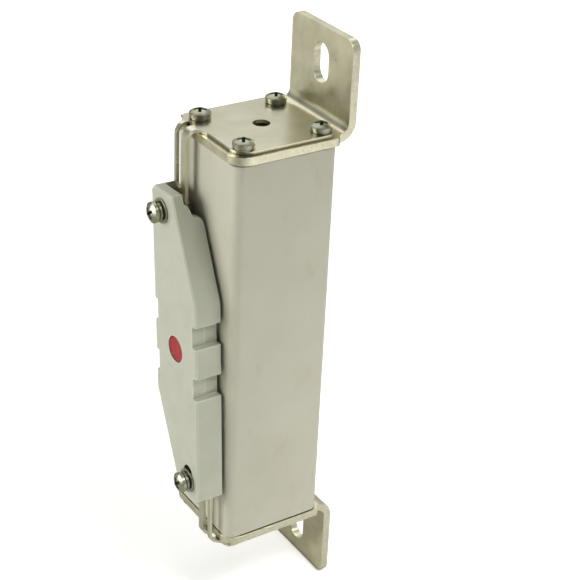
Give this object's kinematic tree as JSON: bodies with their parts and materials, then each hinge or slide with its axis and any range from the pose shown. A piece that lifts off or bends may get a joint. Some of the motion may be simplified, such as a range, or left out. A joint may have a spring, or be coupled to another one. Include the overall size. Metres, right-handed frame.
{
  "type": "high-speed fuse",
  "caption": "High-speed fuse link with a square ceramic body, slotted busbar lugs at both ends and a clip-on release indicator with a red button.",
  "frame": {"origin": "centre of the busbar bolt pattern, on the plane of the two lugs' bolting faces, at mid-length of the body", "axes": "+X out of the lugs' bolting faces towards the busbars, +Z along the ceramic body towards the top lug, +Y to the side on which the upper tongue stands"},
  "size_m": [0.0845, 0.0544, 0.293],
  "materials": {
    "ceramic": "unglazed dense ceramic, fine matt surface",
    "gasket": "pressed mineral fibre",
    "tinned_copper": "tin-plated copper, satin, rounded bright edges",
    "plated_sheet": "plated sheet, fine brushed grain",
    "zinc_screw": "zinc-plated steel, passivated",
    "washer_steel": "zinc-plated spring steel",
    "copper": "bare copper alloy",
    "silver": "rolled fine silver",
    "sand": "bound quartz sand",
    "housing_plastic": "moulded thermoset, fine grain",
    "base_board": "pressed laminate",
    "red_plastic": "moulded, satin gloss",
    "spring_steel": "drawn spring wire"
  },
  "bodies": {
    "fuse_link": {"ceramic_body": "ceramic", "top_gasket": "gasket", "bottom_gasket": "gasket", "top_terminal": "tinned_copper", "bottom_terminal": "tinned_copper", "top_cover": "plated_sheet", "bottom_cover": "plated_sheet", "top_screws": "zinc_screw", "bottom_screws": "zinc_screw", "top_lock_washers": "washer_steel", "bottom_lock_washers": "washer_steel", "top_filler_plug": "tinned_copper", "bottom_filler_plug": "tinned_copper", "top_contact_disc": "copper", "bottom_contact_disc": "copper", "fuse_elements": "silver", "quartz_filler": "sand", "indicator_housing": "housing_plastic", "indicator_base": "base_board", "indicator_spring": "spring_steel", "indicator_wire": "silver", "upper_contact_strap": "copper", "lower_contact_strap": "copper", "indicator_screws": "zinc_screw", "indicator_lock_washers": "washer_steel", "indicator_flat_washers": "zinc_screw", "indicator_nuts": "zinc_screw"},
    "button": {"indicator_button": "red_plastic"}
  },
  "joints": [
    {"name": "indicator_release", "type": "slide", "parent": "fuse_link", "child": "button", "axis": [-1, 0, 0], "range_m": [0, 0.006], "deforming": ["indicator_spring"]}
  ]
}
